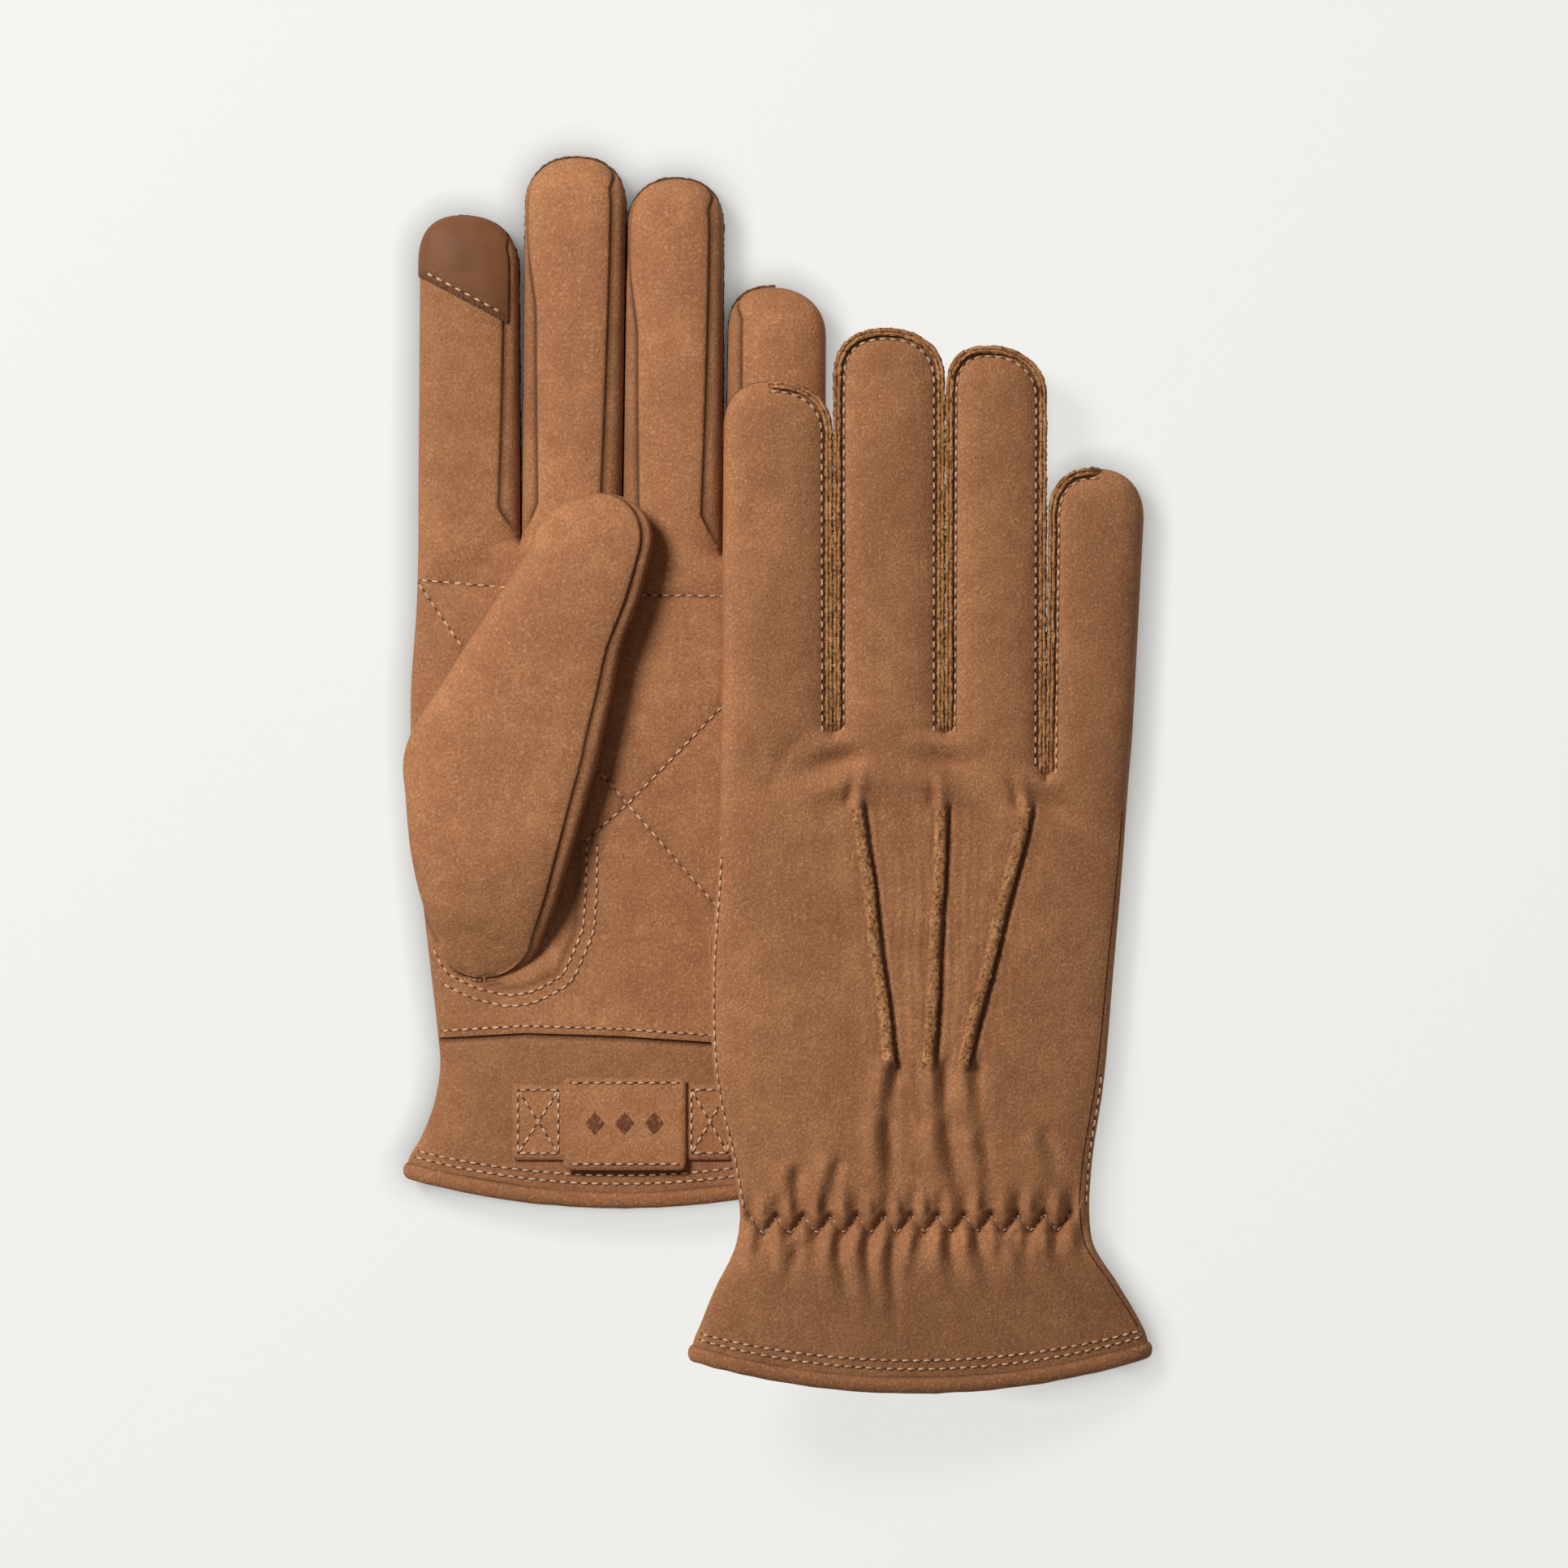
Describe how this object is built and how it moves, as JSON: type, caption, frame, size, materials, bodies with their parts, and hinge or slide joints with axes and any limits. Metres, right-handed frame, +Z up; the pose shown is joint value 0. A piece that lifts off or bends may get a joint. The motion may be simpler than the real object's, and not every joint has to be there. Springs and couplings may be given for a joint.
{
  "type": "touchscreen gloves",
  "caption": "Pair of lined nubuck leather gloves with a smooth touch patch on each index fingertip, a gathered wrist and a flared cuff, one glove leaning on the other.",
  "frame": {"origin": "on the table, below the centre of the pair's box", "axes": "+Z up from the table; +Y from the cuffs to the fingertips; +X from the left glove, palm up, to the right glove, back up"},
  "size_m": [0.1886, 0.3038, 0.0372],
  "materials": {
    "leather": "matte tan-brown nubuck with a fine nap",
    "touch_leather": "smooth, slightly glossy reddish-brown conductive leather",
    "lining": "brushed knit",
    "elastic": "woven elastic tape"
  },
  "bodies": {
    "left_hand": {"left_hand_back": "leather", "left_hand_palm": "leather", "left_cuff_palm": "leather", "left_hand_lining": "lining", "left_wrist_elastic": "elastic", "left_cuff_hem": "leather", "left_strap": "leather", "left_strap_loop": "leather"},
    "left_index": {"left_index_wrap": "leather", "left_touch_patch": "touch_leather", "left_index_fourchette_outer": "leather", "left_index_lining": "lining"},
    "left_middle": {"left_middle_back": "leather", "left_middle_palm": "leather", "left_middle_fourchette_inner": "leather", "left_middle_fourchette_outer": "leather", "left_middle_lining": "lining"},
    "left_ring": {"left_ring_back": "leather", "left_ring_palm": "leather", "left_ring_fourchette_inner": "leather", "left_ring_fourchette_outer": "leather", "left_ring_lining": "lining"},
    "left_pinky": {"left_pinky_wrap": "leather", "left_pinky_fourchette_inner": "leather", "left_pinky_lining": "lining"},
    "left_thumb": {"left_thumb_front": "leather", "left_thumb_back": "leather", "left_thumb_lining": "lining"},
    "right_hand": {"right_hand_back": "leather", "right_hand_palm": "leather", "right_cuff_palm": "leather", "right_hand_lining": "lining", "right_wrist_elastic": "elastic", "right_cuff_hem": "leather", "right_strap": "leather", "right_strap_loop": "leather"},
    "right_index": {"right_index_wrap": "leather", "right_touch_patch": "touch_leather", "right_index_fourchette_outer": "leather", "right_index_lining": "lining"},
    "right_middle": {"right_middle_back": "leather", "right_middle_palm": "leather", "right_middle_fourchette_inner": "leather", "right_middle_fourchette_outer": "leather", "right_middle_lining": "lining"},
    "right_ring": {"right_ring_back": "leather", "right_ring_palm": "leather", "right_ring_fourchette_inner": "leather", "right_ring_fourchette_outer": "leather", "right_ring_lining": "lining"},
    "right_pinky": {"right_pinky_wrap": "leather", "right_pinky_fourchette_inner": "leather", "right_pinky_lining": "lining"},
    "right_thumb": {"right_thumb_front": "leather", "right_thumb_back": "leather", "right_thumb_lining": "lining"}
  },
  "joints": [
    {"name": "left_index_curl", "type": "hinge", "parent": "left_hand", "child": "left_index", "pos_m": [-0.07462, 0.0715, 0.0126], "axis": [1, 0, 0], "range_deg": [0, 70]},
    {"name": "left_middle_curl", "type": "hinge", "parent": "left_hand", "child": "left_middle", "pos_m": [-0.04863, 0.0715, 0.0126], "axis": [1, 0, 0], "range_deg": [0, 70]},
    {"name": "left_ring_curl", "type": "hinge", "parent": "left_hand", "child": "left_ring", "pos_m": [-0.02442, 0.0715, 0.0126], "axis": [1, 0, 0], "range_deg": [0, 70]},
    {"name": "left_pinky_curl", "type": "hinge", "parent": "left_hand", "child": "left_pinky", "pos_m": [0.0014, 0.0985, 0.0126], "axis": [1, 0, 0], "range_deg": [0, 70]},
    {"name": "left_thumb_lift", "type": "hinge", "parent": "left_hand", "child": "left_thumb", "pos_m": [-0.0668, -0.0523, 0.01305], "axis": [0.975, -0.222, 0], "range_deg": [0, 70]},
    {"name": "right_glove_lift_off", "type": "slide", "parent": "left_hand", "child": "right_hand", "axis": [0, 0, 1], "range_m": [0, 0.15]},
    {"name": "right_index_lift", "type": "hinge", "parent": "right_hand", "child": "right_index", "pos_m": [0.00113, 0.0285, 0.03676], "axis": [1, 0, 0], "range_deg": [0, 60]},
    {"name": "right_middle_lift", "type": "hinge", "parent": "right_hand", "child": "right_middle", "pos_m": [0.0289, 0.0285, 0.02935], "axis": [1, 0, 0], "range_deg": [0, 60]},
    {"name": "right_ring_lift", "type": "hinge", "parent": "right_hand", "child": "right_ring", "pos_m": [0.05547, 0.0285, 0.02206], "axis": [1, 0, 0], "range_deg": [0, 60]},
    {"name": "right_pinky_lift", "type": "hinge", "parent": "right_hand", "child": "right_pinky", "pos_m": [0.07917, 0.0285, 0.01546], "axis": [1, 0, 0], "range_deg": [0, 60]},
    {"name": "right_thumb_swing", "type": "hinge", "parent": "right_hand", "child": "right_thumb", "pos_m": [0.0083, -0.0945, 0.01461], "axis": [0.2588, 0, 0.9659], "range_deg": [0, 15]}
  ]
}
